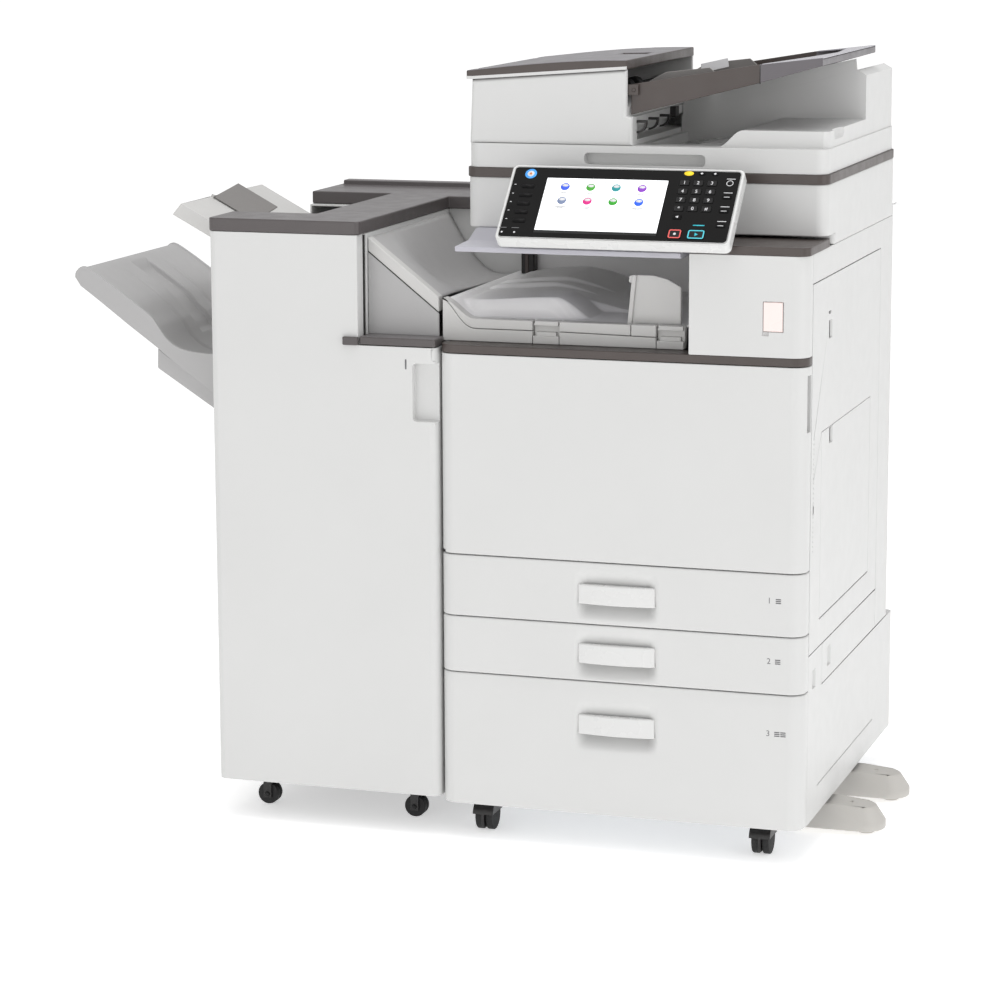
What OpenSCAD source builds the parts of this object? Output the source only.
// Office photocopier: main machine on a paper bank, document feeder on top, finisher docked at the left.
// Machine frame: X = 0 at the main machine's left side, Y = 0 at its front face, Z = 0 at the floor.
// The last step moves everything so that the origin is the centre of the footprint.

/* [Main machine] */
// Width of the main machine over its side covers
body_w = 587; // [540:1:640]
// Depth of the main machine, front face to rear cover
body_d = 651; // [620:1:720]
// Depth of the paper bank under it, front face to its rear cover
bank_d = 695; // [670:1:780]
// Height of the underside above the floor
base_z = 58; // [52:1:72]
// Thickness of the plastic covers
cover_t = 3.5; // [3:0.5:5]
// Radius of the upright front corners
corner_r = 25; // [18:1:32]
// Depth of the front covers around the corner, up to the side seam
side_seam_y = 36; // [33:1:44]
// Open seam between neighbouring covers
seam = 1.6; // [1:0.1:2.5]

/* [Paper trays] */
// Height of the tandem tray's front
tray3_h = 216; // [190:1:250]
// Height of the second tray's front
tray2_h = 91; // [84:1:110]
// Height of the first tray's front
tray1_h = 99; // [86:1:115]
// Width of a handle bar
handle_w = 126; // [100:1:150]
// Height of a handle bar
handle_h = 31; // [24:1:36]
// Height of the finger pocket around a handle bar
pocket_h = 78; // [66:1:80]
// Left end of the handle pockets
pocket_x = 227; // [180:1:260]
// Wall thickness of the tray tubs
tub_t = 2.5; // [2:0.5:4]

/* [Front door and output bay] */
// Height of the front door
door_h = 319; // [280:1:360]
// Height of the dark band above the door
band_h = 13; // [10:1:18]
// Depth of the dark band, front to back
band_d = 45; // [42:1:50]
// Free height of the output bay
bay_h = 155; // [130:1:180]
// Distance from the front face to the bay's back wall
bay_d = 445; // [420:1:480]
// Left side of the cover to the right of the output bay
bay_right_x = 403; // [380:1:425]
// Height of the output tray's front beam
beam_h = 37; // [32:1:44]

/* [Scanner and operation panel] */
// How far the scanner's front stands behind the front face
scan_y = 114; // [95:1:135]
// Height of the scanner's white body
scan_h = 79.5; // [70:0.5:95]
// Height of the dark frame around the glass
frame_h = 15; // [12:0.5:18]
// Width of the operation panel
panel_w = 368; // [340:1:400]
// Sloping length of the operation panel
panel_l = 147; // [135:1:165]
// Slope of the operation panel
panel_tilt = 45.7; // [35:0.1:55]
// Thickness of the operation panel
panel_t = 20; // [16:1:26]

/* [Document feeder] */
// Height of the feeder's base
adf_base_h = 37.5; // [32:0.5:45]
// Height of the feeder housing above the base, at its left end
feeder_h = 100; // [85:1:120]
// Width of the feeder housing
feeder_w = 267; // [240:1:290]
// Rise of the exit ramp
ramp_rise = 26; // [18:1:32]

/* [Finisher] */
// Width of the finisher
fin_w = 382; // [340:1:420]
// Depth of the finisher
fin_d = 613; // [560:1:660]
// Underside of the finisher above the floor
fin_z = 66; // [58:1:76]
// Height of the finisher's body above the floor, without its top cover
fin_top_z = 961.5; // [930:0.5:1000]
// Thickness of the dark top cover
top_t = 21.5; // [16:0.5:26]
// Width of the finisher's tall front, from its left side
tall_w = 254; // [220:1:280]
// How far the shift tray reaches out to the left
shift_reach = 280; // [240:1:320]
// Width of the shift tray, front to back
shift_w = 374; // [330:1:400]
// Width of the proof tray, front to back
proof_w = 348; // [320:1:370]

/* [Wheels and feet] */
// Radius of the main casters' wheels
caster_r = 24; // [20:0.5:28]
// Radius of the finisher's wheels
fin_wheel_r = 18; // [15:0.5:22]
// How far the stabiliser feet reach out to the right
foot_reach = 86; // [60:1:110]
// Width of a stabiliser foot
foot_w = 70; // [56:1:84]

/* [Hidden] */
$fn = 48;
e = 0.01;              // overshoot of a cut
seat = 0.3;            // gap between a resting piece and its seat
run = 0.08;            // radial clearance of a pin in its hole
steel_t = 3;           // chassis plate

// heights of the front, from the floor up
tray2_z = base_z + tray3_h;
tray1_z = tray2_z + tray2_h;
door_z = tray1_z + tray1_h;
band_z = door_z + door_h;
bay_z = band_z + band_h;
shelf_z = bay_z + bay_h;
shelf_t = 12.5;
scan_z = shelf_z + 17;
glass_frame_z = scan_z + scan_h;
adf_z = glass_frame_z + frame_h + 0.4;
adf_top_z = adf_z + adf_base_h;
bank_top_z = tray2_z - 12;
lower_door_top = tray2_z + 54;
right_door_top = shelf_z - 47;

// plan positions
chassis_y = side_seam_y + 4;
left_plate_x = cover_t + 5;
right_plate_x = body_w - 38;
rear_plate_y = body_d - 15;
engine_plate_y = body_d - 90;
scan_x0 = 12;
scan_x1 = body_w + 2;
scan_y1 = body_d - 9;
fin_x1 = -2;
fin_x0 = fin_x1 - fin_w;
tall_x = fin_x0 + tall_w;
fin_wall_t = 3;

// hinge axes
door_pin = [12, 12];
pin_r = 3;
right_pin = [body_w - 3, body_d - 107.5];
adf_pin = [scan_y1 + 3, adf_z + 10];
fin_pin = [fin_x0 + 10, 12];

// origin: centre of the footprint
foot_pad_x = body_w + foot_reach;
shift_tip_x = fin_x0 - shift_reach;
panel_front_y = 60 - panel_l * cos(panel_tilt);
origin_x = (foot_pad_x + shift_tip_x) / 2;
origin_y = (bank_d + panel_front_y) / 2;

module place() {
    translate([-origin_x, -origin_y, 0]) children();
}

// box from one corner to the other
module block(a, b) {
    translate(a) cube(b - a);
}

module round_rect(x0, y0, x1, y1, r) {
    translate([x0 + r, y0]) square([x1 - x0 - 2 * r, y1 - y0]);
    translate([x0, y0 + r]) square([x1 - x0, y1 - y0 - 2 * r]);
    for (x = [x0 + r, x1 - r], y = [y0 + r, y1 - r]) translate([x, y]) circle(r);
}

// rounded plates, extruded up, from front to back and from left to right
module plan_slab(x0, y0, x1, y1, z0, z1, r) {
    translate([0, 0, z0]) linear_extrude(z1 - z0) round_rect(x0, y0, x1, y1, r);
}
module front_slab(x0, z0, x1, z1, y0, y1, r) {
    rotate([90, 0, 0]) translate([0, 0, -y1]) linear_extrude(y1 - y0) round_rect(x0, z0, x1, z1, r);
}
module side_slab(y0, z0, y1, z1, x0, x1, r) {
    rotate([90, 0, 90]) translate([0, 0, x0]) linear_extrude(x1 - x0) round_rect(y0, z0, y1, z1, r);
}
// any outline in X and Z, extruded from y0 to y1, and any outline in Y and Z, extruded in X
module along_y(y0, y1) {
    rotate([90, 0, 0]) translate([0, 0, -y1]) linear_extrude(y1 - y0) children();
}
module along_x(x0, x1) {
    rotate([90, 0, 90]) translate([0, 0, x0]) linear_extrude(x1 - x0) children();
}
module rod_x(x0, x1, y, z, r) {
    translate([x0, y, z]) rotate([0, 90, 0]) cylinder(h = x1 - x0, r = r);
}
module rod_y(y0, y1, x, z, r) {
    translate([x, y1, z]) rotate([90, 0, 0]) cylinder(h = y1 - y0, r = r);
}
module rod_z(z0, z1, x, y, r) {
    translate([x, y, z0]) cylinder(h = z1 - z0, r = r);
}

// plan of a front cover: round at its two front corners
module front_plan(x0, x1, depth, r) {
    intersection() {
        union() {
            translate([x0, r]) square([x1 - x0, depth]);
            translate([x0 + r, 0]) square([x1 - x0 - 2 * r, r + 1]);
            for (x = [x0 + r, x1 - r]) translate([x, r]) circle(r);
        }
        translate([x0 - 1, -1]) square([x1 - x0 + 2, depth + 1]);
    }
}
// the same with a square corner at the left
module right_plan(x0, x1, depth, r) {
    translate([x0, 0]) square([x1 - x0 - r, depth]);
    intersection() {
        front_plan(x0, x1, depth, r);
        translate([x1 - r - 1, 0]) square([r + 1, depth]);
    }
}
// front cover: a skin round the front and the corners, with a flange at the top and the bottom
module front_shell(x0, x1, z0, z1, depth, r, flange_d) {
    difference() {
        translate([0, 0, z0]) linear_extrude(z1 - z0) front_plan(x0, x1, depth, r);
        translate([0, cover_t, z0 + cover_t]) linear_extrude(z1 - z0 - 2 * cover_t)
            front_plan(x0 + cover_t, x1 - cover_t, depth, r - cover_t);
        block([x0 + 8, flange_d, z0 - 1], [x1 - 8, depth + 1, z1 + 1]);
    }
}

// ---------------------------------------------------------------- chassis

module tray_rails(z) {
    for (x = [left_plate_x + steel_t - e, right_plate_x - 9])
        block([x, chassis_y, z + 12], [x + 9 + e, rear_plate_y, z + 20]);
}
module rear_bracket(x) {
    difference() {
        union() {
            block([x - 20, rear_caster_y - 18, base_z - 4], [x + 20, rear_caster_y + 18, base_z + 2]);
            for (s = [-16, 13])
                block([x + s, rear_caster_y - 10, caster_r - 8], [x + s + 3, rear_caster_y + 10, base_z - 3]);
        }
        rod_x(x - 30, x + 30, rear_caster_y, caster_r, 4 + run);
    }
}
caster_x = [56, body_w - 76];
caster_y = 70;
rear_caster_y = body_d - 60;
swivel_off = 16;
stem_r = 6;
tub_z = [tray1_z + 8, tray2_z + 8, base_z + 12];

module frame() color("silver") {
    difference() {
        union() {
            block([left_plate_x, chassis_y, base_z + 2], [right_plate_x + 30, bank_d - 12, base_z + 6]);
            block([left_plate_x, chassis_y, base_z + 2],
                [left_plate_x + steel_t, rear_plate_y + steel_t, band_z + 3]);
            block([right_plate_x, chassis_y, base_z + 2],
                [right_plate_x + steel_t, rear_plate_y + steel_t, band_z + 3]);
            block([left_plate_x, rear_plate_y, base_z + 2],
                [right_plate_x + steel_t, rear_plate_y + steel_t, shelf_z]);
            block([left_plate_x, engine_plate_y, door_z + 15],
                [right_plate_x + steel_t, engine_plate_y + steel_t, band_z + 3]);
            block([left_plate_x, chassis_y + 20, door_z + 12],
                [right_plate_x + steel_t, rear_plate_y + steel_t, door_z + 15]);
            block([left_plate_x, chassis_y + 20, band_z + 3],
                [body_w - 27, rear_plate_y + steel_t, band_z + 6]);
            for (z = [tray2_z, tray1_z, door_z])
                block([left_plate_x, chassis_y, z - 3], [right_plate_x + steel_t, chassis_y + 8, z + 3]);
            for (z = tub_z) tray_rails(z);
            // posts that carry the scanner
            block([bay_right_x + 30, 182, band_z + 6], [bay_right_x + 60, 212, shelf_z]);
            block([body_w - 58, 182, band_z + 6], [body_w - 28, 212, shelf_z]);
            // lug and pin of the front door, its plate in the seam below the door
            block([door_pin[0] - 4, door_pin[1], door_z + 1.2], [door_pin[0] + 4, chassis_y + e, door_z + 3.2]);
            rod_z(door_z + 1.2, door_z + 12, door_pin[0], door_pin[1], pin_r);
            rod_z(door_z + 1.2, door_z + 3.2, door_pin[0], door_pin[1], 5);
            for (x = caster_x) rear_bracket(x);
        }
        for (x = caster_x) rod_z(base_z, base_z + 8, x, caster_y + swivel_off, stem_r + run);
    }
}

module left_cover() color("whitesmoke") {
    block([0, side_seam_y + 2, bank_top_z + seam], [cover_t, body_d - 11, bay_z - 1]);
    block([0, bay_d + 8, bay_z - 1 - e], [cover_t, body_d - 11, shelf_z - 1]);
    for (z = [bank_top_z + 30, door_z, band_z - 20])
        block([cover_t - e, chassis_y + 10, z], [left_plate_x, body_d - 30, z + 6]);
}

slot_w = 5;
slot_pitch = 12;
inlet = [470, 330];
module rear_cover() color("whitesmoke") {
    difference() {
        union() {
            difference() {
                plan_slab(0, body_d - 40, body_w, body_d, bank_top_z + seam, shelf_z - 1, 10);
                plan_slab(cover_t, body_d - 60, body_w - cover_t, body_d - cover_t,
                    bank_top_z, shelf_z, 10 - cover_t);
                block([-1, body_d - 60, bank_top_z], [body_w + 1, body_d - 10, shelf_z]);
            }
            // ribs that meet the rear plate
            for (x = [60, 300, 520])
                block([x, rear_plate_y + steel_t, bank_top_z + 20], [x + 4, body_d - cover_t + e, shelf_z - 20]);
            // housing of the inlet
            block([inlet[0] - 24, body_d - 11, inlet[1] - 24], [inlet[0] + 24, body_d - 1, inlet[1] + 24]);
        }
        for (i = [0:13])
            front_slab(90, shelf_z - 60 - i * slot_pitch, 270, shelf_z - 60 - i * slot_pitch + slot_w,
                body_d - 9, body_d + 1, 2.4);
        for (i = [0:9])
            front_slab(360, door_z + 180 - i * slot_pitch, 500, door_z + 180 - i * slot_pitch + slot_w,
                body_d - 9, body_d + 1, 2.4);
        // interface sockets: network, two USB
        block([100, body_d - 9, 330], [116, body_d + 1, 344]);
        for (z = [352, 366]) block([101, body_d - 9, z], [115, body_d + 1, z + 7]);
        block([inlet[0] - 14 - seat, body_d - 12, inlet[1] - 10 - seat],
            [inlet[0] + 14 + seat, body_d + 1, inlet[1] + 10 + seat]);
    }
}

module power_inlet() color("dimgray") {
    difference() {
        block([inlet[0] - 14, body_d - 11, inlet[1] - 10], [inlet[0] + 14, body_d - 1, inlet[1] + 10]);
        block([inlet[0] - 12, body_d - 9, inlet[1] - 8], [inlet[0] + 12, body_d, inlet[1] + 8]);
    }
    for (x = [-7, 0, 7])
        block([inlet[0] + x - 1, body_d - 10, inlet[1] - 2], [inlet[0] + x + 1, body_d - 3, inlet[1] + 2]);
}

lower_door_y = 136;
module bank_cover() color("whitesmoke") {
    difference() {
        union() {
            difference() {
                plan_slab(0, 0, body_w, bank_d, base_z, bank_top_z, 10);
                plan_slab(cover_t, -20, body_w - cover_t, bank_d - cover_t, base_z - 1,
                    bank_top_z - cover_t, 10 - cover_t);
                block([-1, -1, base_z - 1], [body_w + 1, side_seam_y + 1.5, bank_top_z + 1]);
                block([cover_t, -1, bank_top_z - cover_t - e], [body_w - cover_t, body_d - 11.5, bank_top_z + 1]);
            }
            // fixed strip in front of the lower right door
            block([body_w - cover_t, side_seam_y + 1.5, base_z + 20],
                [body_w, lower_door_y - seam, lower_door_top]);
            for (y = [side_seam_y + 1.5, bank_d - 40])
                block([cover_t - 1, y + 6, base_z + 3], [left_plate_x, y + 14, base_z + 20]);
            for (y = [side_seam_y + 60, bank_d - 40])
                block([right_plate_x + 30, y, base_z + 2.5], [body_w - cover_t + 1, y + 14, base_z + 12]);
            // backs of the grips
            block([body_w - 12, 58, tray2_z - 10], [body_w - cover_t + 1, 98, tray2_z + 34]);
            // support and pin of the lower right door
            block([body_w - 9, right_pin[1] - 6, bank_top_z - 8], [body_w - cover_t + 1, right_pin[1] + 6, bank_top_z]);
            rod_z(bank_top_z - 2, bank_top_z + seam + 8, right_pin[0], right_pin[1], 2);
        }
        scoop(78, tray2_z - 4, tray2_z + 26);
        // lifting groove near the bottom edge
        block([body_w - 1, 110, base_z + 46], [body_w + 1, 538, base_z + 48]);
    }
}

// finger scoop in the right side
module scoop(y, z0, z1) {
    rod_z(z0, z1, body_w + 6, y, 13);
}
vent_n = 24;
module right_cover() color("whitesmoke") {
    block([body_w - cover_t, right_pin[1] + 4.2, bank_top_z + seam],
        [body_w, body_d - 10 - seam / 2, shelf_z - 1]);
    block([body_w - cover_t, side_seam_y + 1.5, right_door_top + seam], [body_w, body_d - 60, shelf_z - 1]);
    block([right_plate_x + steel_t, right_pin[1] + 10, bank_top_z + 30],
        [body_w - cover_t + 1, right_pin[1] + 16, band_z]);
    // pins of the two right doors: the upper one under the fixed cover, the lower one on a lug in the seam
    block([body_w - 12, right_pin[1] - 4, right_door_top + seam], [body_w - cover_t + 1, right_pin[1] + 8, right_door_top + 8]);
    rod_z(right_door_top - 9, right_door_top + seam + 1, right_pin[0], right_pin[1], 2);
    block([body_w - 9, right_pin[1] - 3, lower_door_top + 0.1],
        [body_w - 0.8, right_pin[1] + 5, lower_door_top + seam - seat]);
    block([body_w - 9, right_pin[1] + 5 - e, lower_door_top - 6], [body_w - cover_t, right_pin[1] + 11, lower_door_top + 8]);
    rod_z(lower_door_top - 9, lower_door_top + seam + 9, right_pin[0], right_pin[1], 2);
}

bypass_y = [110, 478];
bypass_z = [tray1_z + 9, door_z + 203];
bypass_t = 14;
bypass_pin = [body_w - 3, bypass_z[0] + 3];
module right_door() color("white") {
    rear_y = right_pin[1] + 2.5;
    difference() {
        union() {
            block([body_w - cover_t, side_seam_y + 2.5, lower_door_top + seam], [body_w, rear_y, right_door_top]);
            // inner frame, hollow above and below the bypass tray
            difference() {
                block([body_w - 24, side_seam_y + 12, lower_door_top + 12],
                    [body_w - cover_t + 1, right_pin[1] - 12, right_door_top - 14]);
                block([body_w - 25, side_seam_y + 16, bypass_z[1] + 10],
                    [body_w - cover_t, right_pin[1] - 16, right_door_top - 18]);
                block([body_w - 25, side_seam_y + 16, lower_door_top + 16],
                    [body_w - cover_t, right_pin[1] - 16, bypass_z[0] - 12]);
            }
            // knuckles round the hinge pins
            for (z = [lower_door_top + seam + 1, right_door_top - 13])
                block([body_w - 9, right_pin[1] - 13, z], [body_w - cover_t + 1, rear_y - 0.5, z + 12]);
            // back of the grips
            block([body_w - 12, 145, shelf_z - 150], [body_w - cover_t + 1, 185, shelf_z - 96]);
        }
        block([body_w - bypass_t - 0.8, bypass_y[0] - seam / 2, bypass_z[0] - 2],
            [body_w + 1, bypass_y[1] + seam / 2, bypass_z[1] + seam / 2]);
        rod_y(bypass_y[0] - 8, bypass_y[1] + 8, bypass_pin[0], bypass_pin[1], 1.5 + run);
        for (z = [lower_door_top + seam, right_door_top - 10])
            rod_z(z - 1, z + 11, right_pin[0], right_pin[1], 2 + run);
        // finger grip and the slot mark under the shelf
        scoop(165, shelf_z - 144, shelf_z - 116);
        side_slab(150, shelf_z - 105, 168, shelf_z - 101, body_w - 5, body_w + 1, 1.9);
        for (i = [0:vent_n - 1])
            translate([body_w - 30, 56, door_z + 26 + i * 7.6]) rotate([0, 90, 0]) cylinder(h = 40, r = 1.6, $fn = 12);
    }
}

module bypass_tray() color("white") {
    rod_y(bypass_y[0] - 6, bypass_y[1] + 6, bypass_pin[0], bypass_pin[1], 1.5);
    difference() {
        block([body_w - bypass_t, bypass_y[0], bypass_z[0]], [body_w, bypass_y[1], bypass_z[1]]);
        block([body_w - bypass_t - 1, bypass_y[0] + 4, bypass_z[0] + 16],
            [body_w - cover_t, bypass_y[1] - 4, bypass_z[1] - 5]);
        scoop(bypass_y[0] + 67, bypass_z[1] - 26, bypass_z[1] - 2);
    }
    // back of the grip
    difference() {
        block([body_w - 12, bypass_y[0] + 50, bypass_z[1] - 30],
            [body_w - cover_t + 1, bypass_y[0] + 84, bypass_z[1] - 4]);
        scoop(bypass_y[0] + 67, bypass_z[1] - 26, bypass_z[1] - 2);
    }
    // side guides of the bypass tray
    for (y = [bypass_y[0] + 40, bypass_y[1] - 44])
        block([body_w - bypass_t + 2, y, bypass_z[0] + 60], [body_w - cover_t + 1, y + 4, bypass_z[0] + 180]);
}

module lower_right_door() color("whitesmoke") {
    rear_y = right_pin[1] + 2.5;
    difference() {
        union() {
            block([body_w - cover_t, lower_door_y, bank_top_z + seam], [body_w, rear_y, lower_door_top - 0.2]);
            difference() {
                block([body_w - 16, lower_door_y + 8, bank_top_z + 8],
                    [body_w - cover_t + 1, right_pin[1] - 14, lower_door_top - 8]);
                block([body_w - 17, lower_door_y + 76, bank_top_z + 12],
                    [body_w - cover_t, right_pin[1] - 18, lower_door_top - 12]);
            }
            for (z = [bank_top_z + seam, lower_door_top - 12.2])
                block([body_w - 9, right_pin[1] - 15, z], [body_w - cover_t + 1, rear_y - 0.5, z + 12]);
        }
        for (z = [bank_top_z + seam, lower_door_top - 10])
            rod_z(z - 1, z + 11, right_pin[0], right_pin[1], 2 + run);
        scoop(lower_door_y + 50, bank_top_z + 20, bank_top_z + 52);
    }
}

// ---------------------------------------------------------------- front door and what is behind it

grip_z = [door_z + 217, door_z + 304];
module front_door() color("white") {
    difference() {
        union() {
            difference() {
                front_shell(0, body_w, door_z + 1, band_z - 1.2, side_seam_y, corner_r, 24);
                // room for the lug at the bottom left
                block([-1, 6.5, door_z], [26, side_seam_y + 1, door_z + 5]);
            }
            translate([0, 0, door_z + 5]) linear_extrude(3.5) intersection() {
                front_plan(0, body_w, side_seam_y, corner_r);
                square([30, 24]);
            }
            // back of the grip
            intersection() {
                block([body_w - 32, 0, grip_z[0] - 5], [body_w, side_seam_y, grip_z[1] + 5]);
                translate([0, 0, grip_z[0] - 6]) linear_extrude(grip_z[1] - grip_z[0] + 12)
                    front_plan(0, body_w, side_seam_y, corner_r);
            }
        }
        rod_z(door_z, door_z + 20, door_pin[0], door_pin[1], pin_r + run);
        rod_z(band_z - 20, band_z, door_pin[0], door_pin[1], pin_r + run);
        front_slab(body_w - 28, grip_z[0], body_w + 20, grip_z[1], 16, side_seam_y - 3, 6);
    }
}

module inner_cover() color("lightgray") {
    difference() {
        block([left_plate_x + steel_t + seat, chassis_y + 12, door_z + 15 + seat],
            [right_plate_x - seat, chassis_y + 16, band_z + 2]);
        rod_y(chassis_y, chassis_y + 30, toner_x, toner_z, toner_r + 3);
        // openings over the drum unit's handle and the fuser's lever
        front_slab(330, door_z + 120, 410, door_z + 170, chassis_y, chassis_y + 30, 10);
        front_slab(450, door_z + 240, 500, door_z + 300, chassis_y, chassis_y + 30, 10);
    }
}

toner_x = 150;
toner_z = band_z - 75;
toner_r = 46;
module toner_bottle() color("dimgray") {
    rod_y(chassis_y + 14, chassis_y + 40, toner_x, toner_z, toner_r);
    rod_y(chassis_y + 40 - e, engine_plate_y, toner_x, toner_z, toner_r - 4);
    difference() {
        rod_y(chassis_y + 6, chassis_y + 14 + e, toner_x, toner_z, toner_r - 10);
        block([toner_x - 40, chassis_y, toner_z - 16], [toner_x - 4, chassis_y + 12, toner_z + 16]);
        block([toner_x + 4, chassis_y, toner_z - 16], [toner_x + 40, chassis_y + 12, toner_z + 16]);
    }
}

drum_r = 30;
module drum_unit() color("seagreen") {
    difference() {
        block([290, chassis_y + 40, door_z + 95], [470, engine_plate_y, door_z + 190]);
        rod_y(chassis_y + 30, engine_plate_y + 1, 440, door_z + 145, drum_r + 2);
        block([440, chassis_y + 60, door_z + 110], [480, engine_plate_y - 20, door_z + 180]);
    }
    rod_y(chassis_y + 30, engine_plate_y, 440, door_z + 145, drum_r);
    front_slab(340, door_z + 130, 400, door_z + 160, chassis_y + 18, chassis_y + 41, 8);
}

module fuser_unit() color("gray") {
    difference() {
        block([430, chassis_y + 40, door_z + 215], [right_plate_x, engine_plate_y, band_z - 4]);
        rod_y(chassis_y + 30, engine_plate_y + 1, 470, door_z + 262, 24);
        rod_y(chassis_y + 30, engine_plate_y + 1, 514, door_z + 262, 22);
    }
    rod_y(chassis_y + 41, engine_plate_y, 470, door_z + 262, 22);
    rod_y(chassis_y + 41, engine_plate_y, 514, door_z + 262, 20);
}

module laser_unit() color("dimgray") {
    difference() {
        block([50, chassis_y + 50, door_z + 15], [400, engine_plate_y - 60, door_z + 70]);
        block([60, chassis_y + 60, door_z + 20], [380, engine_plate_y - 70, door_z + 66]);
        block([379, chassis_y + 80, door_z + 38], [401, engine_plate_y - 90, door_z + 48]);
    }
    rod_z(door_z + 20, door_z + 40, 180, 260, 28);
    block([300, chassis_y + 80, door_z + 20], [306, engine_plate_y - 90, door_z + 40]);
}

module gear(x, z, r, w, n) {
    rotate([90, 0, 0]) translate([x, z, -rear_plate_y]) linear_extrude(w) difference() {
        union() {
            circle(r - 2);
            for (i = [0:n - 1]) rotate(i * 360 / n) translate([r - 3, -1.2]) square([5, 2.4]);
        }
        circle(4);
    }
}
module drive_unit() color("goldenrod") {
    gear(440, door_z + 145, 34, 14, 34);
    gear(500, door_z + 182, 34, 12, 34);
    rod_y(rear_plate_y - 46, rear_plate_y, 330, door_z + 200, 30);
    rod_y(rear_plate_y - 20, rear_plate_y, 440, door_z + 145, 3.9);
    rod_y(rear_plate_y - 18, rear_plate_y, 500, door_z + 182, 3.9);
    block([80, rear_plate_y - 12, door_z + 40], [260, rear_plate_y, door_z + 160]);
}

// ---------------------------------------------------------------- paper trays

tub_x0 = left_plate_x + steel_t + 11;
tub_x1 = right_plate_x - 11;
tub_y0 = 22;
tub_y1 = rear_plate_y - 46;
module tub(z0, z1, split) {
    difference() {
        union() {
            block([tub_x0, tub_y0, z0], [tub_x1, tub_y1, z1]);
            // runners on the rails
            block([tub_x0 - 10, chassis_y + 20, z0 + 20 + seat], [tub_x0 + e, tub_y1, z0 + 24]);
            block([tub_x1 - e, chassis_y + 20, z0 + 20 + seat], [tub_x1 + 10, tub_y1, z0 + 24]);
        }
        difference() {
            block([tub_x0 + tub_t, tub_y0 + tub_t, z0 + tub_t], [tub_x1 - tub_t, tub_y1 - tub_t, z1 + 1]);
            if (split) block([(tub_x0 + tub_x1) / 2 - 2, tub_y0, z0], [(tub_x0 + tub_x1) / 2 + 2, tub_y1, z1]);
        }
    }
}
module fences(z0, z1) {
    // end fence and the two side fences, standing on the floor of the tub
    block([tub_x0 + 60, 250, z0 + tub_t - e], [tub_x0 + 66, 330, z1 - 8]);
    for (y = [tub_y0 + 60, tub_y1 - 90])
        block([tub_x0 + 180, y, z0 + tub_t - e], [tub_x0 + 300, y + 4, z1 - 8]);
}
module lift_plate(x0, x1, z0) {
    block([x0, tub_y0 + 80, z0 + tub_t + seat], [x1, tub_y1 - 110, z0 + tub_t + seat + 1.5]);
}

module tray_1() color("gainsboro") {
    tub(tub_z[0], door_z - 6, false);
    fences(tub_z[0], door_z - 6);
    lift_plate(tub_x0 + 80, tub_x1 - 12, tub_z[0]);
}
module tray_2() color("gainsboro") {
    tub(tub_z[1], tray1_z - 6, false);
    fences(tub_z[1], tray1_z - 6);
    lift_plate(tub_x0 + 80, tub_x1 - 12, tub_z[1]);
}
module tray_3() color("gainsboro") {
    tub(tub_z[2], tray2_z - 6, true);
    lift_plate(tub_x0 + 16, (tub_x0 + tub_x1) / 2 - 10, tub_z[2]);
    lift_plate((tub_x0 + tub_x1) / 2 + 10, tub_x1 - 16, tub_z[2]);
}

// front of a tray with its finger pocket and handle bar
module tray_front(z0, z1, bar_z) {
    pocket_z = [bar_z - pocket_h / 2, bar_z + pocket_h / 2];
    difference() {
        union() {
            front_shell(0, body_w, z0 + seam / 2, z1 - seam / 2, side_seam_y, corner_r, tub_y0 - seat);
            block([pocket_x - 4, 1, pocket_z[0] - 3], [pocket_x + handle_w + 4, tub_y0 - seat, pocket_z[1] + 3]);
        }
        front_slab(pocket_x, pocket_z[0], pocket_x + handle_w, pocket_z[1], -1, tub_y0 - 3, 16);
    }
    // the bar, bulged in the middle of its length
    translate([0, 0, bar_z - handle_h / 2]) linear_extrude(handle_h) polygon(concat(
        [for (i = [0:12]) [pocket_x - e + i * (handle_w + 2 * e) / 12, 1 - bar_bulge * sin(i * 15)]],
        [[pocket_x + handle_w + e, 7], [pocket_x - e, 7]]));
}
bar_bulge = 6;
module tray_1_front() color("white") tray_front(tray1_z, door_z, tray1_z + 48);
module tray_2_front() color("white") tray_front(tray2_z, tray1_z, tray2_z + 44);
module tray_3_front() color("white") tray_front(base_z, tray2_z, base_z + 146);

// ---------------------------------------------------------------- trims and output bay

module trim_band() color("dimgray") {
    difference() {
        union() {
            translate([0, 0, band_z]) linear_extrude(band_h) {
                front_plan(0, body_w, side_seam_y, corner_r);
                translate([6, side_seam_y - 6]) square([body_w - 12, band_d - side_seam_y + 6]);
            }
            rod_z(band_z - 12, band_z + e, door_pin[0], door_pin[1], pin_r);
        }
        block([24, 12, band_z - e], [body_w - 40, band_d + 1, band_z + band_h - 4]);
        block([5, chassis_y - 1, band_z - e], [body_w - 5, band_d + 1, band_z + 3 + seat]);
    }
    // shelf under the scanner at the right
    plan_slab(bay_right_x - 4, 0, body_w + 2, 150, shelf_z - 1 + seat, shelf_z + shelf_t, 12);
}

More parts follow.
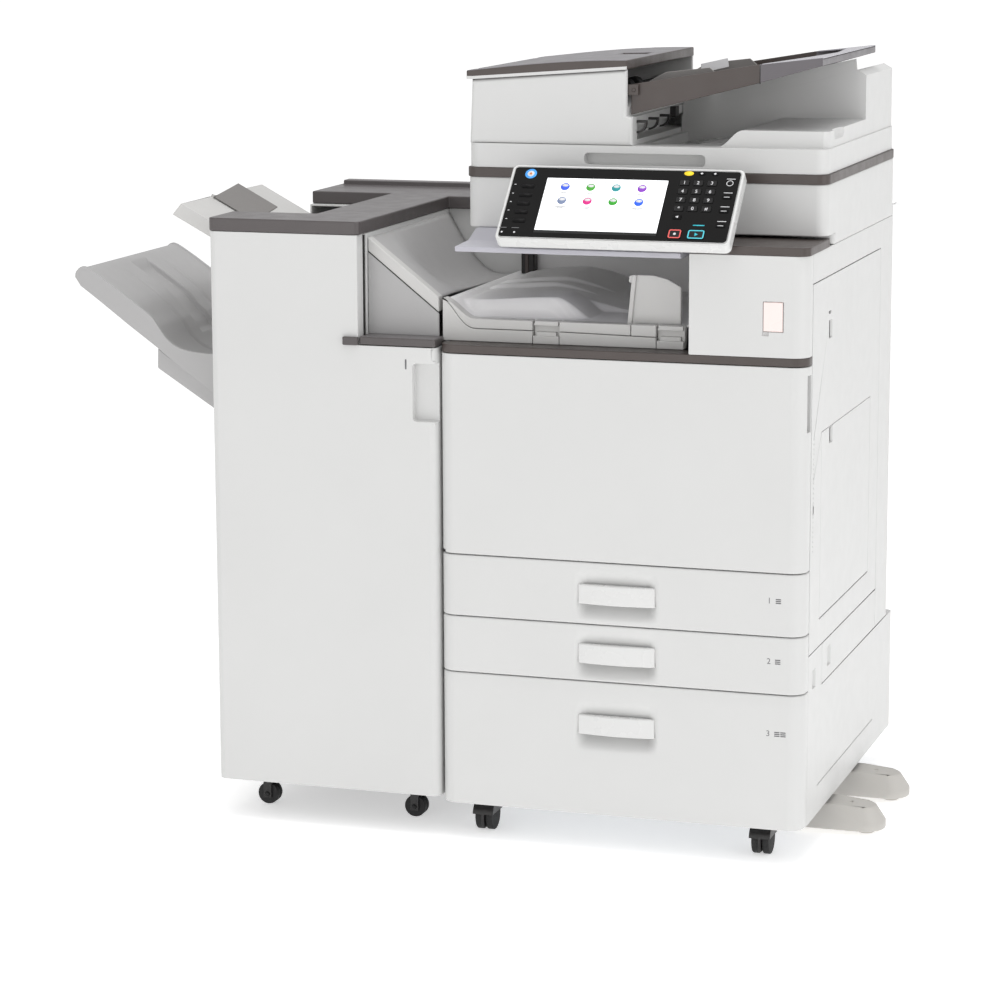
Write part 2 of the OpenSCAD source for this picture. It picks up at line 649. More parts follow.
switch_x = body_w - 68;
switch_z = bay_z + 40;
hatch_w = 30;
hatch_h = 44;
module upper_right_cover() color("white") {
    difference() {
        union() {
            difference() {
                translate([0, 0, bay_z]) linear_extrude(bay_h - 1) right_plan(bay_right_x, body_w, side_seam_y, corner_r);
                translate([0, cover_t, bay_z + cover_t]) linear_extrude(bay_h - 1 - 2 * cover_t)
                    right_plan(bay_right_x + cover_t, body_w - cover_t, side_seam_y, corner_r - cover_t);
            }
            // wall towards the bay
            block([bay_right_x, corner_r, bay_z + 1], [bay_right_x + cover_t, bay_d, shelf_z - 1]);
            block([switch_x - 6, 1, switch_z - 10], [switch_x + hatch_w + 6, 18, switch_z + hatch_h + 6]);
        }
        // recess of the switch hatch, with a finger dimple below
        block([switch_x - 1, -1, switch_z - 1], [switch_x + hatch_w + 1, 4, switch_z + hatch_h + 1]);
        block([switch_x + 5, -1, switch_z + 8], [switch_x + hatch_w - 5, 15, switch_z + hatch_h - 8]);
        block([switch_x - 2, -1, switch_z - 7], [switch_x + 8, 3, switch_z]);
        rod_z(switch_z - 3, switch_z + hatch_h + 3, switch_x + hatch_w - 1.5, 2.2, 0.8 + run);
    }
}
module switch_hatch() color("mistyrose") {
    block([switch_x, 0, switch_z], [switch_x + hatch_w - 0.4, 3, switch_z + hatch_h]);
    rod_z(switch_z - 2.5, switch_z + hatch_h + 2.5, switch_x + hatch_w - 1.5, 2.2, 0.8);
}
module power_switch() color("gray") {
    block([switch_x + 5.4, 6, switch_z + 8.4], [switch_x + hatch_w - 5.4, 12.7, switch_z + hatch_h - 8.4]);
}

// the output tray: a plateau at the left that falls in a smooth step to the exit side
crest_x = 165;
foot_x = 225;
plateau_z = bay_z + 68;
low_z = bay_z + 30;
function tray_h(x) = x < 20 ? bay_z + 52 + (x + 8) * 0.3
    : x < crest_x ? bay_z + 60.4 + (x - 20) * 0.05
    : x < foot_x ? low_z + (plateau_z - low_z) * (1 + cos(180 * (x - crest_x) / (foot_x - crest_x))) / 2
    : low_z + (x - foot_x) * 0.06;
bay_xs = [for (i = [0:43]) -6 + i * 9];
module output_bay() color("lightgray") {
    // wavy floor: a shell that stands on the deck
    difference() {
        along_y(64, bay_d - seat) polygon(concat([for (x = bay_xs) [x, tray_h(x)]],
            [[bay_right_x - 2, tray_h(bay_right_x - 2)], [bay_right_x - 2, band_z + 6 + seat],
            [cover_t + 1, band_z + 6 + seat], [cover_t + 1, bay_z], [-6, bay_z]]));
        along_y(68, bay_d - 5) polygon(concat([for (x = bay_xs) [max(x, -2), tray_h(x) - 4]],
            [[bay_right_x - 6, tray_h(bay_right_x - 6) - 4], [bay_right_x - 6, band_z],
            [cover_t + 5, band_z], [cover_t + 5, bay_z + 4], [-2, bay_z + 4]]));
    }
    // front beam
    difference() {
        along_y(44, 62) polygon([[-6, bay_z], [385, bay_z], [385, bay_z + beam_h - 4], [40, bay_z + beam_h - 4],
            [20, bay_z + beam_h + 2], [4, bay_z + beam_h + 16], [-6, bay_z + beam_h + 28]]);
        front_slab(143, bay_z + 14, 183, bay_z + 31, 40, 50, 2);
        front_slab(342, bay_z + 16, 383, bay_z + 34, 40, 50, 2);
    }
    // upright guide fin at the exit side
    along_y(66, 70) polygon([[287, low_z + 2], [bay_right_x - 28, low_z + 6], [bay_right_x - 28, low_z + 72],
        [340, low_z + 81], [301, low_z + 81]]);
    // back wall and the dark post at its left end
    block([cover_t + 1, bay_d, band_z + 6 + seat], [body_w - 30, bay_d + 4, shelf_z - 1]);
    block([2, bay_d - 22, bay_z + 70], [26, bay_d - seat, shelf_z - 1]);
}

module panel_support() color("lavender") {
    // ledge that carries the operation panel, under the scanner's front edge
    along_x(30, 390) polygon([[-2, shelf_z - 9], [20, shelf_z - 11], [scan_y + 30, shelf_z - 6],
            [scan_y + 30, scan_z - seat], [scan_y - 12, scan_z - seat], [scan_y - 50, shelf_z + 2], [-2, shelf_z - 1]]);
    // yoke of the panel's tilt hinge
    for (x = [180, 300]) difference() {
        along_x(x, x + 12) union() {
            translate([scan_y - 46, shelf_z]) square([24, 24]);
            translate([scan_y - 34, shelf_z + 24]) circle(12);
        }
        rod_x(x - 1, x + 13, tilt_pin[0], tilt_pin[1], 4 + run);
    }
}
tilt_pin = [scan_y - 34, shelf_z + 24];

// ---------------------------------------------------------------- scanner

glass_x = [92, 526];
glass_y = [scan_y + 46, scan_y + 46 + 306];
module scanner_body() color("white") {
    difference() {
        union() {
            plan_slab(scan_x0, scan_y, scan_x1, scan_y1, scan_z, glass_frame_z, 18);
            plan_slab(scan_x0, scan_y + 57, scan_x1, scan_y1, shelf_z, scan_z + 1, 10);
        }
        plan_slab(scan_x0 + cover_t, scan_y + cover_t, scan_x1 - cover_t, scan_y1 - cover_t,
            scan_z + cover_t, glass_frame_z + 1, 18 - cover_t);
    }
    // guide rod of the carriage
    rod_x(scan_x0 + cover_t - e, scan_x1 - cover_t + e, scan_y1 - 40, scan_z + 30, 5);
}
module scanner_frame() color("dimgray") {
    difference() {
        plan_slab(scan_x0 - 2, scan_y - 2, scan_x1 + 2, scan_y1 - 6, glass_frame_z, glass_frame_z + frame_h, 19);
        block([glass_x[0] + 6, glass_y[0] + 6, glass_frame_z - 1],
            [glass_x[1] - 6, glass_y[1] - 6, glass_frame_z + frame_h + 1]);
        block([glass_x[0] - seat, glass_y[0] - seat, glass_frame_z + frame_h - 4],
            [glass_x[1] + seat, glass_y[1] + seat, glass_frame_z + frame_h + 1]);
        block([36, glass_y[0], glass_frame_z - 1], [60, glass_y[1], glass_frame_z + frame_h + 1]);
    }
    // hinge posts of the document feeder
    for (x = hinge_x) difference() {
        block([x, scan_y1 - 12, glass_frame_z], [x + 40, scan_y1 + 9, adf_pin[1] + 8]);
        block([x + 8, scan_y1 - 13, adf_z - 0.2], [x + 32, scan_y1 + 10, adf_pin[1] + 9]);
        rod_x(x - 1, x + 41, adf_pin[0], adf_pin[1], pin_r + run);
    }
}
hinge_x = [90, body_w - 140];
module exposure_glass() color("lightcyan", 0.5) {
    block([glass_x[0], glass_y[0], glass_frame_z + frame_h - 4], [glass_x[1], glass_y[1], glass_frame_z + frame_h]);
}
module carriage() color("dimgray") {
    difference() {
        block([60, scan_y + 16, scan_z + 14], [120, scan_y1 - 22, scan_z + 44]);
        rod_x(50, 130, scan_y1 - 40, scan_z + 30, 5 + run);
        block([84, scan_y + 40, scan_z + 30], [96, scan_y1 - 70, scan_z + 45]);
    }
    block([70, scan_y + 20, scan_z + 44 - e], [78, scan_y1 - 80, scan_z + 52]);
}

// ---------------------------------------------------------------- document feeder

adf_x0 = 14;
adf_x1 = body_w + 1;
adf_y1 = scan_y1 - 8;
block_y = bay_d - 35;
feeder_x1 = adf_x0 + feeder_w;
ramp_x = [412, 452];
module adf_base() color("white") {
    difference() {
        union() {
            plan_slab(adf_x0, scan_y, adf_x1, adf_y1, adf_z, adf_top_z, 18);
            // raised exit ramp
            intersection() {
                along_y(scan_y + 20, block_y + 5) polygon(concat([[ramp_x[0] - 4, adf_top_z - 3]],
                    [for (i = [0:8]) [ramp_x[0] + i * (ramp_x[1] - ramp_x[0]) / 8,
                        adf_top_z + ramp_rise * (1 - cos(i * 22.5)) / 2]],
                    [[adf_x1, adf_top_z + ramp_rise], [adf_x1, adf_top_z - 3]]));
                plan_slab(0, scan_y + 18, adf_x1 - 2, block_y + 60, adf_top_z - 4, adf_top_z + 60, 16);
            }
            // rear block that carries the input tray
            along_y(block_y, adf_y1 - 14) polygon([[feeder_x1 + 1, adf_top_z - 3], [adf_x1 - 2, adf_top_z - 3],
                [adf_x1 - 2, adf_top_z + 96], [adf_x1 - 16, adf_top_z + 104], [feeder_x1 + 1, adf_top_z + 28]]);
        }
        // grip recess in the front edge
        front_slab(204, adf_top_z - 30, 398, adf_top_z - 11.5, scan_y - 1, scan_y + 18, 7);
        // sunken exit floor between the front strip and the rear block
        along_y(scan_y + 60, block_y - e) polygon([[feeder_x1 + 12, adf_top_z + 1], [feeder_x1 + 12, adf_top_z - 16],
            [ramp_x[0] - 4, adf_top_z + 1]]);
        // finger dimple at the right end of the ramp
        hull() for (y = [scan_y + 70, scan_y + 120])
            translate([adf_x1 + 3, y, adf_top_z + ramp_rise - 4]) sphere(r = 12, $fn = 24);
        // pockets of the hinges
        for (x = hinge_x) block([x - 1, adf_y1 - 9, adf_z - 1], [x + 41, adf_y1 + 1, adf_pin[1] + 12]);
    }
    // hinge leaves with their pins
    for (x = hinge_x) {
        block([x + 8.5, adf_y1 - 9 - e, adf_pin[1] - 5], [x + 31.5, adf_pin[0], adf_pin[1] + 5]);
        rod_x(x + 8.5, x + 31.5, adf_pin[0], adf_pin[1], 5);
        rod_x(x + 1, x + 39, adf_pin[0], adf_pin[1], pin_r);
    }
    // white platen pad under the base
    block([glass_x[0] - 8, glass_y[0] - 8, adf_z - 0.3], [glass_x[1] + 8, glass_y[1] + 8, adf_z]);
}

cover_pin = [adf_x0 + 4, adf_top_z + feeder_h + 2];
knuckle_y = [150, 460];
cover_y1 = 520;
module adf_feeder() color("white") {
    difference() {
        along_y(scan_y, cover_y1) polygon([[adf_x0 + 2, adf_top_z], [feeder_x1, adf_top_z], [feeder_x1, adf_top_z + 44],
            [feeder_x1 - 9, adf_top_z + 46], [feeder_x1 - 9, adf_top_z + feeder_h + 17],
            [adf_x0 + 8, adf_top_z + feeder_h - 1], [adf_x0 + 6, adf_top_z + feeder_h - 1]]);
        // hollow under the feeder cover
        along_y(scan_y + 8, cover_y1 - 8) polygon([[adf_x0 + 16, adf_top_z + 60], [feeder_x1 - 8, adf_top_z + 60],
            [feeder_x1 - 8, adf_top_z + feeder_h + 40], [adf_x0 + 16, adf_top_z + feeder_h + 40]]);
        // exit slot towards the ramp
        block([feeder_x1 - 30, scan_y + 30, adf_top_z + 8], [feeder_x1 + 1, cover_y1 - 40, adf_top_z + 30]);
    }
    // ears of the feeder cover's hinge
    for (y = knuckle_y) difference() {
        union() {
            block([cover_pin[0] - 3, y, adf_top_z + feeder_h - 12], [cover_pin[0] + 4, y + 20, cover_pin[1]]);
            rod_y(y, y + 20, cover_pin[0], cover_pin[1], 3.6);
        }
        rod_y(y - 1, y + 21, cover_pin[0], cover_pin[1], 2 + run);
    }
    // ears of the input tray's pivot
    for (y = [tray_y[0] - 7, tray_y[1] + 1]) difference() {
        block([feeder_x1 - 12, y, tray_pin[1] - 8], [tray_pin[0] + 7, y + 6, tray_pin[1] + 8]);
        rod_y(y - 1, y + 7, tray_pin[0], tray_pin[1], 3 + run);
    }
    block([feeder_x1 - 16, cover_y1 - 8, tray_pin[1] - 8], [feeder_x1 - 9.2, tray_y[1] + 7, tray_pin[1] + 8]);
    // bearings of the roller shaft
    for (y = [scan_y + 12, cover_y1 - 16]) difference() {
        block([roller_pin[0] - 7, y, adf_top_z + 60 - e], [roller_pin[0] + 7, y + 4, roller_pin[1] + 7]);
        rod_y(y - 1, y + 5, roller_pin[0], roller_pin[1], 4 + run);
    }
    // curl fingers over the exit
    for (i = [0:2]) translate([feeder_x1, scan_y + 30 + i * 68, adf_top_z + 34]) {
        rotate([90, 0, 0]) translate([0, 0, -4]) rotate_extrude(angle = -110, $fn = 32)
            translate([13, 0]) square([3, 8]);
        translate([-1, -4, -e]) cube([17, 8, 4]);
    }
    block([feeder_x1 - e, scan_y + 225, adf_top_z + 30], [feeder_x1 + 10, scan_y + 245, adf_top_z + 46]);
}

module adf_cover() color("gray") {
    difference() {
        along_y(scan_y - 1, cover_y1 + 1) polygon(concat([[adf_x0 - 2, adf_top_z + feeder_h - 1 + seat],
            [adf_x0 + 8, adf_top_z + feeder_h - 1 + seat], [feeder_x1 - 8, adf_top_z + feeder_h + 17 + seat],
            [feeder_x1 - 8, adf_top_z + feeder_h + 32]],
            [for (i = [8:-1:0]) [adf_x0 - 2 + i * (feeder_w - 6) / 8,
                adf_top_z + feeder_h + 13 + 19 * sin(i * 11.25)]]));
        // recessed pull handle
        block([feeder_x1 - 80, 300, adf_top_z + feeder_h + 24], [feeder_x1 - 30, 350, adf_top_z + feeder_h + 40]);
        // notches round the hinge ears
        for (y = knuckle_y) block([adf_x0 - 3, y - seat, adf_top_z + feeder_h - 3],
            [cover_pin[0] + 5.5, y + 20 + seat, adf_top_z + feeder_h + 30]);
    }
    for (y = knuckle_y) rod_y(y - 8, y + 28, cover_pin[0], cover_pin[1], 2);
}

tray_pin = [feeder_x1, adf_top_z + 86];
tray_y = [scan_y + 16, cover_y1 + 8];
module input_tray() color("dimgray") {
    x0 = feeder_x1 - 6;
    z0 = adf_top_z;
    // side walls: tall at the feeder, thin at the tip
    for (y = [tray_y[0], tray_y[1] - 4]) along_y(y, y + 4)
        polygon([[x0, z0 + 47], [x0 + 204, z0 + 99], [x0 + 301, z0 + 126], [x0 + 301, z0 + 138],
            [x0 + 204, z0 + 127], [x0, z0 + 94]]);
    // floor, rising to the tip
    difference() {
        along_y(tray_y[0] + 4 - e, tray_y[1] - 4 + e) polygon([[x0 + 2, z0 + 64], [x0 + 204, z0 + 104],
            [x0 + 301, z0 + 126], [x0 + 301, z0 + 136], [x0 + 204, z0 + 120], [x0 + 190, z0 + 106],
            [x0 + 2, z0 + 68]]);
        for (y = guide_slots) block([x0 + 60, y[0], z0 + 60], [x0 + 66, y[1], z0 + 120]);
    }
    // pivot pins, held in the feeder housing's ears
    rod_y(tray_y[0] - 8, tray_y[0] + e, tray_pin[0], tray_pin[1], 3);
    rod_y(tray_y[1] - e, tray_y[1] + 8, tray_pin[0], tray_pin[1], 3);
}
guide_slots = [[170, 300], [330, 470]];
// top of the input tray's floor, at a distance from the tray's left end
function tray_floor(dx) = adf_top_z + 68 + (dx - 2) * 38 / 188;
module guide(y, lip) {
    x0 = feeder_x1 - 6;
    z0 = adf_top_z;
    along_y(y, y + 5) polygon([[x0 + 12, tray_floor(12) + seat], [x0 + 120, tray_floor(120) + seat],
        [x0 + 122, z0 + 108], [x0 + 110, z0 + 118], [x0 + 40, z0 + 110], [x0 + 14, z0 + 96]]);
    along_y(min(y, y + lip), max(y + 5, y + 5 + lip)) polygon([[x0 + 14, tray_floor(14) + seat],
        [x0 + 110, tray_floor(110) + seat], [x0 + 110, tray_floor(110) + 2.3], [x0 + 14, tray_floor(14) + 2.3]]);
}
module guide_front() color("dimgray") guide(186, 30);
module guide_rear() color("dimgray") guide(450, -30);

roller_pin = [feeder_x1 - 60, adf_top_z + 80];
module pickup_rollers() color("black") {
    rod_y(scan_y + 8 + seat, cover_y1 - 8 - seat, roller_pin[0], roller_pin[1], 4);
    for (y = [280, 330]) rod_y(y, y + 22, roller_pin[0], roller_pin[1], 13);
}

// ---------------------------------------------------------------- operation panel

panel_x0 = 107;
panel_top = [60, scan_z + 105];
// puts a flat layout (X to the right, Y up the slope, Z out of the face) onto the sloping panel
module on_panel() {
    translate([panel_x0, panel_top[0], panel_top[1]]) rotate([panel_tilt, 0, 0])
        translate([0, -panel_l, 0]) children();
}
face_m = 5;            // margin of the black face inside the bezel
screen = [59, 15, 253, 123];
keypad = [270.5, 63.5];
key_pitch = [21.5, 16.6];
key_size = [15, 10];
module key_hole(x, y, w, h, d) {
    translate([0, 0, -d]) linear_extrude(d + 1) round_rect(x - 0.4, y - 0.4, x + w + 0.4, y + h + 0.4, 2);
}
start_pos = [301, 11];
stop_pos = [271, 11];
start_size = [26, 17];
stop_size = [20, 17];
module op_panel() color("white") {
    on_panel() difference() {
        union() {
            translate([0, 0, -panel_t]) linear_extrude(panel_t) round_rect(0, 0, panel_w, panel_l, 9);
            translate([70, 30, -panel_t - 14]) linear_extrude(15) round_rect(0, 0, 220, 90, 8);
        }
        translate([0, 0, -1.5]) linear_extrude(3) round_rect(face_m, face_m, panel_w - face_m, panel_l - face_m, 6);
        translate([face_m + 6, face_m + 4, 4 - panel_t])
            cube([panel_w - 2 * face_m - 12, panel_l - 2 * face_m - 8, panel_t - 5.5 + e]);
    }
    // lugs and shaft of the tilt hinge
    for (x = [194, 286]) difference() {
        along_x(x, x + 8) union() {
            polygon([[34, tilt_pin[1] + 2], [tilt_pin[0] - 4, tilt_pin[1] - 7], [tilt_pin[0] + 4, tilt_pin[1] + 8],
                [66, tilt_pin[1] + 60], [46, tilt_pin[1] + 42]]);
            translate(tilt_pin) circle(8);
        }
        on_panel() translate([0, 0, 0.5 - panel_t]) cube([panel_w, panel_l, 60]);
    }
    rod_x(178, 314, tilt_pin[0], tilt_pin[1], 4);
}
module panel_face() color("black") {
    on_panel() difference() {
        translate([0, 0, -1.5]) linear_extrude(1.5)
            round_rect(face_m + 0.2, face_m + 0.2, panel_w - face_m - 0.2, panel_l - face_m - 0.2, 5.8);
        translate([screen[0] - 0.2, screen[1] - 0.2, -2]) cube([screen[2] - screen[0] + 0.4, screen[3] - screen[1] + 0.4, 4]);
        for (r = [0:3], c = [0:2]) key_hole(keypad[0] + c * key_pitch[0], keypad[1] + r * key_pitch[1], key_size[0], key_size[1], 2);
        key_hole(start_pos[0], start_pos[1], start_size[0], start_size[1], 2);
        key_hole(stop_pos[0], stop_pos[1], stop_size[0], stop_size[1], 2);
    }
}
module lcd() color("white") {
    on_panel() translate([screen[0], screen[1], -1.5]) cube([screen[2] - screen[0], screen[3] - screen[1], 1.3]);
}
module key(x, y, w, h) {
    translate([0, 0, -3]) linear_extrude(4) round_rect(x, y, x + w, y + h, 1.8);
}
module number_keys() color("gray") {
    on_panel() for (r = [0:3], c = [0:2])
        key(keypad[0] + c * key_pitch[0], keypad[1] + r * key_pitch[1], key_size[0], key_size[1]);
}
module start_key() color("cyan") on_panel() key(start_pos[0], start_pos[1], start_size[0], start_size[1]);
module stop_key() color("red") on_panel() key(stop_pos[0], stop_pos[1], stop_size[0], stop_size[1]);

// ---------------------------------------------------------------- finisher

shelf_fin_z = fin_top_z - 171.5;
fin_y0 = side_seam_y + 1;
module fin_body() color("whitesmoke") {
    difference() {
        union() {
            block([fin_x0, fin_y0, fin_z], [fin_x1, fin_d, shelf_fin_z]);
            block([fin_x0, fin_y0, shelf_fin_z - e], [tall_x, fin_d, fin_top_z]);
            block([tall_x - e, bay_d, shelf_fin_z - e], [fin_x1, fin_d, fin_top_z]);
        }
        // inside, open towards the door
        block([fin_x0 + fin_wall_t, fin_y0 - 1, fin_z + fin_wall_t],
            [fin_x1 - fin_wall_t, fin_d - fin_wall_t, shelf_fin_z - fin_wall_t]);
        block([fin_x0 + fin_wall_t, fin_y0 - 1, shelf_fin_z - fin_wall_t - e],
            [tall_x - fin_wall_t, fin_d - fin_wall_t, fin_top_z - fin_wall_t]);
        // slot of the shift tray's carriage and mouth of the proof tray
        for (y = [shift_y[0] + 60, shift_y[1] - 80])
            block([fin_x0 - 1, y, 250], [fin_x0 + fin_wall_t + 1, y + 20, 760]);
        block([fin_x0 - 1, proof_y[0] - seat, fin_top_z - 60], [notch_x + 2, proof_y[1] + seat, fin_top_z + 1]);
        block([fin_x0 - 1, shift_y[0], 790], [fin_x0 + fin_wall_t + 1, shift_y[1], 830]);
        rod_z(fin_z - 1, fin_z + 9, fin_pin[0], fin_pin[1], pin_r + run);
    }
    // lower lug with the pin of the door, and the bottom plate that carries the wheels
    block([fin_pin[0] - 4, fin_pin[1], fin_z], [fin_pin[0] + 4, fin_y0 + 1, fin_z + 3]);
    rod_z(fin_z, fin_z + 3, fin_pin[0], fin_pin[1], 4.5);
    // pads that meet the main machine
    for (z = [300, 700]) block([fin_x1 - 1, 200, z], [-seat, 260, z + 20]);
    rod_z(fin_z + 3 - e, fin_z + 12, fin_pin[0], fin_pin[1], pin_r);
    for (x = fin_wheel_x, y = fin_wheel_y) difference() {
        union() {
            block([x - 14, y - 16, fin_z - 5], [x + 14, y + 16, fin_z + e]);
            for (s = [-14, 11]) block([x - 7, y + s, fin_wheel_r - 7], [x + 7, y + s + 3, fin_z - 4]);
        }
        rod_y(y - 20, y + 20, x, fin_wheel_r, 3.5 + run);
    }
    // stapler unit on its shelf
    block([fin_x0 + 60, 120, 700], [fin_x1 - 40, 480, 704]);
    block([fin_x0 + 60, 480 - e, 700], [fin_x0 + 110, fin_d - fin_wall_t + e, 704]);
    front_slab(fin_x0 + 90, 704 - e, fin_x0 + 190, 770, 130, 180, 8);
}
fin_wheel_x = [fin_x0 + 48, fin_x1 - 76];
fin_wheel_y = [106, fin_d - 106];
shift_y = [100, 100 + shift_w];
proof_y = [100, 100 + proof_w];
notch_x = fin_x0 + 144;
notch_y = [proof_y[0] + 5, proof_y[1] + 11];

fin_grip_z = [fin_z + 606, fin_z + 698];
module fin_door_outline() {
    // full height at the left, cut down to the shelf at the right
    translate([fin_x0, fin_z]) square([fin_x1 - fin_x0, shelf_fin_z - fin_z - 1]);
    translate([fin_x0, fin_z]) square([tall_w - 2, fin_top_z - fin_z]);
}
module fin_door() color("white") {
    difference() {
        union() {
            intersection() {
                along_y(-1, side_seam_y + 1) fin_door_outline();
                difference() {
                    translate([0, 0, fin_z]) linear_extrude(fin_top_z) front_plan(fin_x0, fin_x1, side_seam_y, 14);
                    translate([0, cover_t, fin_z + cover_t]) linear_extrude(fin_top_z - fin_z - 2 * cover_t)
                        front_plan(fin_x0 + cover_t, fin_x1 - cover_t, side_seam_y, 14 - cover_t);
                    block([fin_x0 + 8, 26, fin_z - 1], [fin_x1 - 8, side_seam_y + 1, fin_top_z + 1]);
                    block([fin_x0 - 1, 6.5, fin_z - 1], [fin_x0 + 24, side_seam_y + 1, fin_z + 5]);
                    block([fin_x0 - 1, side_seam_y - 2.5, fin_z - 1], [fin_x0 + 8, side_seam_y + 1, fin_top_z + 1]);
                }
            }
            // top flange of the low part and right wall of the tall part
            block([tall_x - 3, 1, shelf_fin_z - 1 - cover_t], [fin_x1 - 8, 26, shelf_fin_z - 1]);
            block([tall_x - 2 - cover_t, 1, shelf_fin_z - 2], [tall_x - 2, 26, fin_top_z]);
            translate([0, 0, fin_z + 5]) linear_extrude(3.5) intersection() {
                front_plan(fin_x0, fin_x1, side_seam_y, 14);
                translate([fin_x0, 0]) square([30, 26]);
            }
            block([fin_x1 - 46, 1, fin_grip_z[0] - 4], [fin_x1 - 3, 20, fin_grip_z[1] + 4]);
            block([fin_x1 - 7, 19, fin_grip_z[0] - 4], [fin_x1 - 3, 30, fin_grip_z[1] + 4]);
        }
        rod_z(fin_z, fin_z + 20, fin_pin[0], fin_pin[1], pin_r + run);
        rod_z(fin_top_z - 20, fin_top_z + 1, fin_pin[0], fin_pin[1], pin_r + run);
        // grip at the right edge
        front_slab(fin_x1 - 40, fin_grip_z[0], fin_x1 + 20, fin_grip_z[1], -1, 14, 6);
    }
}

module fin_top() color("dimgray") {
    difference() {
        union() {
            translate([0, 0, fin_top_z + seat]) linear_extrude(top_t - seat)
                front_plan(fin_x0, tall_x + 1, fin_d, 10);
            block([tall_x, bay_d - 10, fin_top_z + seat], [fin_x1 - 3, fin_d, fin_top_z + top_t]);
            rod_z(fin_top_z - 10, fin_top_z + seat + e, fin_pin[0], fin_pin[1], pin_r);
        }
        block([fin_x0 - 1, notch_y[0], fin_top_z - 1], [notch_x, notch_y[1], fin_top_z + top_t + 1]);
        // hollow underside
        block([fin_x0 + 40, 8, fin_top_z - 1], [tall_x - 6, 60, fin_top_z + top_t - 4]);
    }
    block([fin_x0 + 12, fin_d - 34, fin_top_z + top_t - e], [fin_x1 - 8, fin_d - 8, fin_top_z + top_t + 9]);
    // dark shelf on the low part of the door
    translate([0, 0, shelf_fin_z + seat]) linear_extrude(13 - seat) {
        translate([tall_x + seat, -1]) square([fin_x1 - tall_x - 2, 42]);
    }
}

module bridge() color("lightgray") {
    z0 = shelf_fin_z + 13;
    // front panel with its sloping rim, and the sloping wall behind it
    along_y(42, 46) polygon([[tall_x + 1, z0 - 12], [-12, z0 - 12], [-12, z0 + 35], [tall_x + 1, z0 + 128]]);
    along_y(46 - e, 70) polygon([[tall_x + 1, z0 + 126], [-12, z0 + 33], [-12, z0 + 60], [tall_x + 1, z0 + 152]]);
    along_y(70 - e, bay_d - 2) polygon([[tall_x + 1, z0 + 150], [tall_x + 1, z0 + 154],
        [tall_x + 50, z0 + 92], [-40, z0 + 58], [-12, z0 + 52], [-12, z0 + 46], [-44, z0 + 50],
        [tall_x + 44, z0 + 86]]);
    block([tall_x + 1, 46 - e, shelf_fin_z + seat], [-12, bay_d - 2, shelf_fin_z + 4]);
}

shift_top = 757.5;
shift_slope = 0.481;
module shift_tray() color("silver") {
    tip_x = fin_x0 - shift_reach;
    root_x = fin_x0 - seat;
    h = shift_slope * (root_x - tip_x - 16);
    // deck with raised side walls at the front and the back
    difference() {
        along_y(shift_y[0], shift_y[1]) polygon([[tip_x, shift_top + h - 20], [tip_x + 16, shift_top + h],
            [-526, 804], [-508, 780], [-490, 760], [-470, 752], [root_x, 748], [root_x, 662],
            [-522, 756]]);
        // shallow channel along the deck
        along_y(shift_y[0] + 150, shift_y[0] + 190) polygon([[-620, 868], [-450, 786], [-450, 800], [-600, 880]]);
    }
    // bracket under the tray, with its two carriers in the finisher's slots
    along_y(shift_y[0] + 6, shift_y[1] - 6) polygon([[-522, 755], [root_x, 661], [root_x, 632], [-523, 721]]);
    for (y = [shift_y[0] + 62, shift_y[1] - 78])
        block([root_x - e, y, 650], [fin_x0 + fin_wall_t + 8, y + 16, 740]);
}

proof_z = 994;
proof_tip = fin_x0 - 88;
proof_a = atan2(proof_z - fin_top_z + 18, fin_x0 + 6 - proof_tip);
flap_y = [222, 305];
flap_pin = 2.5;        // height of the flap's pin above the tray
flap_a = 12;
// puts a flat layout onto the sloping top of the proof tray
module on_proof() {
    translate([proof_tip, 0, proof_z]) rotate([0, proof_a, 0]) children();
}
module proof_tray() color("silver") {
    root_x = notch_x - 2;
    along_y(proof_y[0], proof_y[1]) polygon([[proof_tip - 16, proof_z - 19], [proof_tip, proof_z],
        [fin_x0 + 6, fin_top_z - 18], [root_x, fin_top_z - 34], [root_x, fin_top_z - 60 + seat],
        [fin_x0 + 4, fin_top_z - 44]]);
    // ears of the flap
    on_proof() for (x = [2, 88]) difference() {
        translate([x, flap_y[0] - 3, -1]) cube([5, 6, 6.5]);
        translate([x - 1, flap_y[0], flap_pin]) rotate([0, 90, 0]) cylinder(h = 7, r = 1.2 + run);
    }
}
module proof_flap() color("silver") {
    on_proof() translate([0, flap_y[0], flap_pin]) rotate([flap_a, 0, 0]) {
        translate([7.5, 0, -1.2]) cube([80, flap_y[1] - flap_y[0], 2.4]);
        translate([3, 0, 0]) rotate([0, 90, 0]) cylinder(h = 89, r = 1.2);
    }
}

// ---------------------------------------------------------------- wheels and feet

module fin_wheel_pair(x) {
    for (y = fin_wheel_y) {
        for (s = [-10, 1]) rod_y(y + s, y + s + 9, x, fin_wheel_r, fin_wheel_r);
        rod_y(y - 16, y + 16, x, fin_wheel_r, 3.5);
    }
}
module fin_wheels_left() color("black") fin_wheel_pair(fin_wheel_x[0]);
module fin_wheels_right() color("black") fin_wheel_pair(fin_wheel_x[1]);

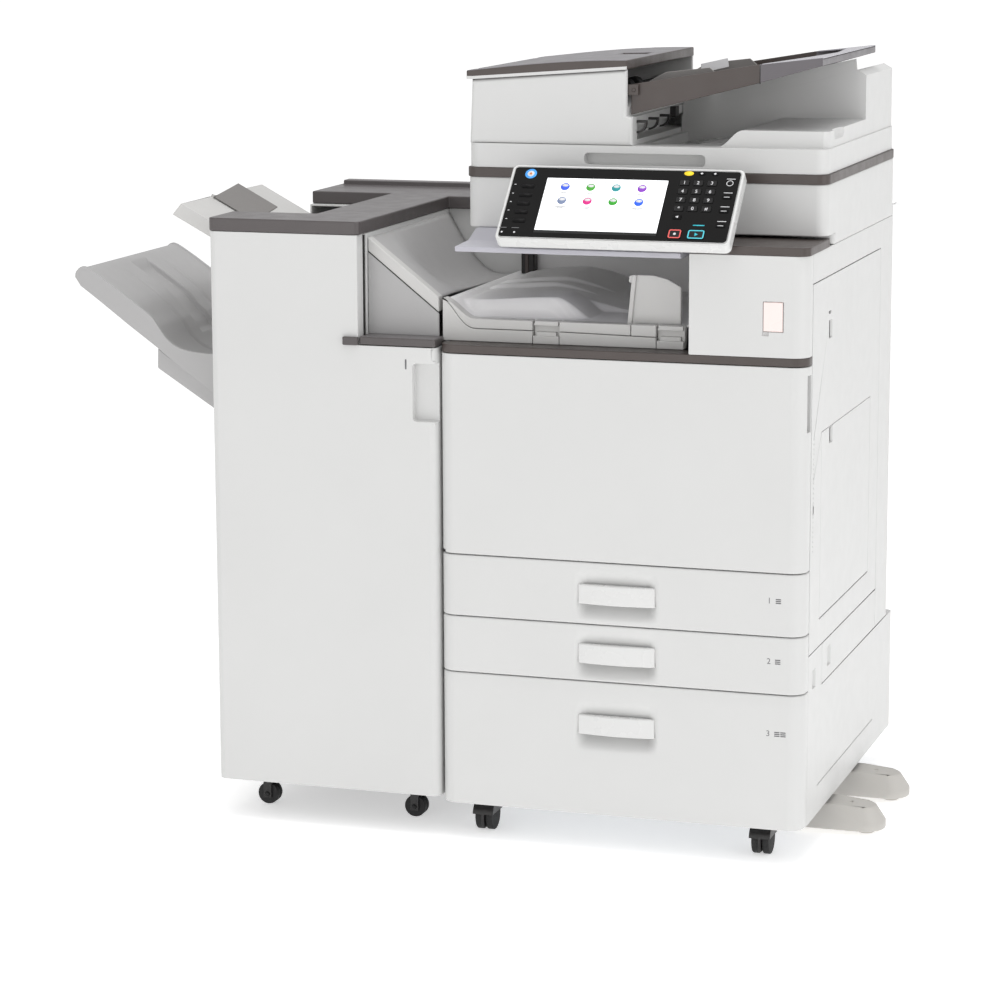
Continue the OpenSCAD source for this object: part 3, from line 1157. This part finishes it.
module caster_fork(x) {
    y = caster_y + swivel_off;
    rod_z(base_z - 3, base_z + 5, x, y, stem_r);
    difference() {
        union() {
            rod_z(base_z - 7, base_z + 2 - seat, x, y, 20);
            // hood over the wheels and the web between them
            rod_x(x - 17, x + 17, caster_y, caster_r, caster_r + 5);
        }
        rod_x(x - 16, x - 2.5, caster_y, caster_r, caster_r + 1.5);
        rod_x(x + 2.5, x + 16, caster_y, caster_r, caster_r + 1.5);
        block([x - 30, caster_y - 40, -10], [x - 2.5, caster_y + 40, caster_r + 6]);
        block([x + 2.5, caster_y - 40, -10], [x + 30, caster_y + 40, caster_r + 6]);
        block([x - 30, caster_y - 40, -10], [x + 30, caster_y + 40, 7]);
        rod_x(x - 30, x + 30, caster_y, caster_r, 4 + run);
    }
}
module caster_left() color("black") caster_fork(caster_x[0]);
module caster_right() color("black") caster_fork(caster_x[1]);
module twin_wheel(x, y, gap, w) {
    for (s = [-gap - w, gap]) rod_x(x + s, x + s + w, y, caster_r, caster_r);
    rod_x(x - gap - w, x + gap + w, y, caster_r, 4);
}
module wheel_left() color("black") twin_wheel(caster_x[0], caster_y, 3, 11);
module wheel_right() color("black") twin_wheel(caster_x[1], caster_y, 3, 11);
module rear_wheels() color("black") for (x = caster_x) {
    twin_wheel(x, rear_caster_y, 0.5, 11);
    rod_x(x - 16, x + 16, rear_caster_y, caster_r, 4);
}

foot_y = [232, 431];
module stabiliser_feet() color("gainsboro") {
    for (y = foot_y) {
        difference() {
            hull() {
                translate([body_w - 60, y - foot_w / 2, 8]) cube([60, foot_w, 18]);
                translate([body_w - 60, y - foot_w / 2 + 6, 8]) cube([60, foot_w - 12, 42]);
                translate([body_w + foot_reach - foot_w / 2, y, 8]) cylinder(h = 14, r = foot_w / 2, $fn = 32);
                translate([body_w + foot_reach - foot_w / 2 - 6, y, 8]) cylinder(h = 38, r = foot_w / 2 - 10, $fn = 32);
            }
            rod_z(40, 60, body_w + 30, y, 3);
        }
        // levelling pad and the arm bolted under the base plate
        rod_z(0, 8, body_w + foot_reach - foot_w / 2 + 4, y, 14);
        block([body_w - 60, y - 20, base_z - 20], [body_w - 54, y + 20, base_z + 2]);
    }
}

place() frame();
place() left_cover();
place() rear_cover();
place() bank_cover();
place() power_inlet();
place() right_cover();
place() right_door();
place() bypass_tray();
place() lower_right_door();
place() front_door();
place() inner_cover();
place() toner_bottle();
place() drum_unit();
place() fuser_unit();
place() laser_unit();
place() drive_unit();
place() tray_1();
place() tray_1_front();
place() tray_2();
place() tray_2_front();
place() tray_3();
place() tray_3_front();
place() trim_band();
place() upper_right_cover();
place() switch_hatch();
place() power_switch();
place() output_bay();
place() panel_support();
place() scanner_body();
place() scanner_frame();
place() exposure_glass();
place() carriage();
place() adf_base();
place() adf_feeder();
place() adf_cover();
place() input_tray();
place() guide_front();
place() guide_rear();
place() pickup_rollers();
place() op_panel();
place() panel_face();
place() lcd();
place() number_keys();
place() start_key();
place() stop_key();
place() fin_body();
place() fin_door();
place() fin_top();
place() bridge();
place() proof_tray();
place() proof_flap();
place() shift_tray();
place() fin_wheels_left();
place() fin_wheels_right();
place() caster_left();
place() caster_right();
place() wheel_left();
place() wheel_right();
place() rear_wheels();
place() stabiliser_feet();
